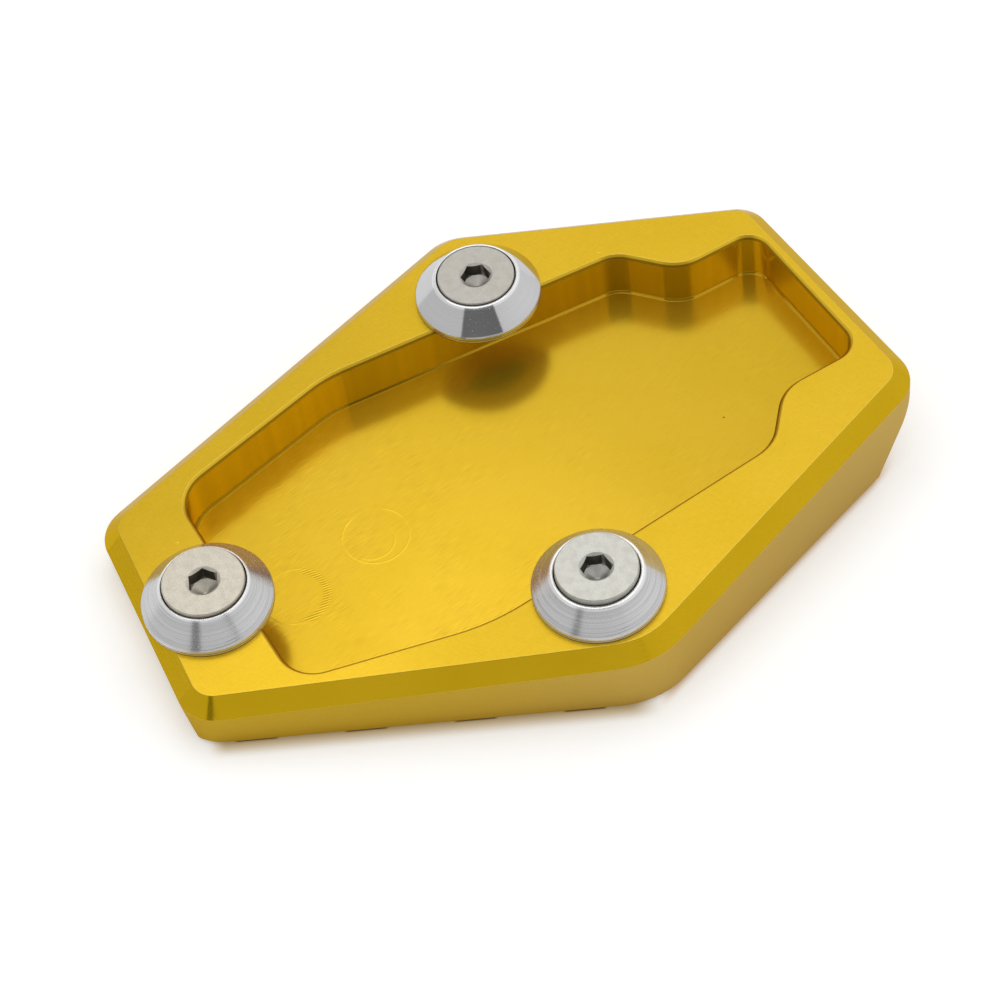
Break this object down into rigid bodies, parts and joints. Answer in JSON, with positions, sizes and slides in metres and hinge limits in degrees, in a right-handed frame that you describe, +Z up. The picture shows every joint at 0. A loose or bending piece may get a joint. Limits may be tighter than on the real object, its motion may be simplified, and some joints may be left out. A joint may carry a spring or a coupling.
{
  "type": "motorcycle kickstand foot enlarger",
  "caption": "Wedge-shaped milled plate with a pocket for a motorcycle side stand's foot, clamped by conical washers under countersunk screws, to spread the load on soft ground.",
  "frame": {"origin": "on the ground under the middle of the part's bounding box", "axes": "+X along the plate's front edge towards its thick end, +Y from that edge towards the back, +Z up from the ground"},
  "size_m": [0.1192, 0.0838, 0.018],
  "materials": {
    "anodised_plate": "milled and gold anodised",
    "turned_washer": "turned, bare",
    "stainless_screw": "bare stainless"
  },
  "bodies": {
    "root": {"base_plate": "anodised_plate", "clamp_washer_left": "turned_washer", "clamp_washer_back": "turned_washer", "clamp_washer_right": "turned_washer", "screw_left": "stainless_screw", "screw_back": "stainless_screw", "screw_right": "stainless_screw"}
  },
  "joints": []
}
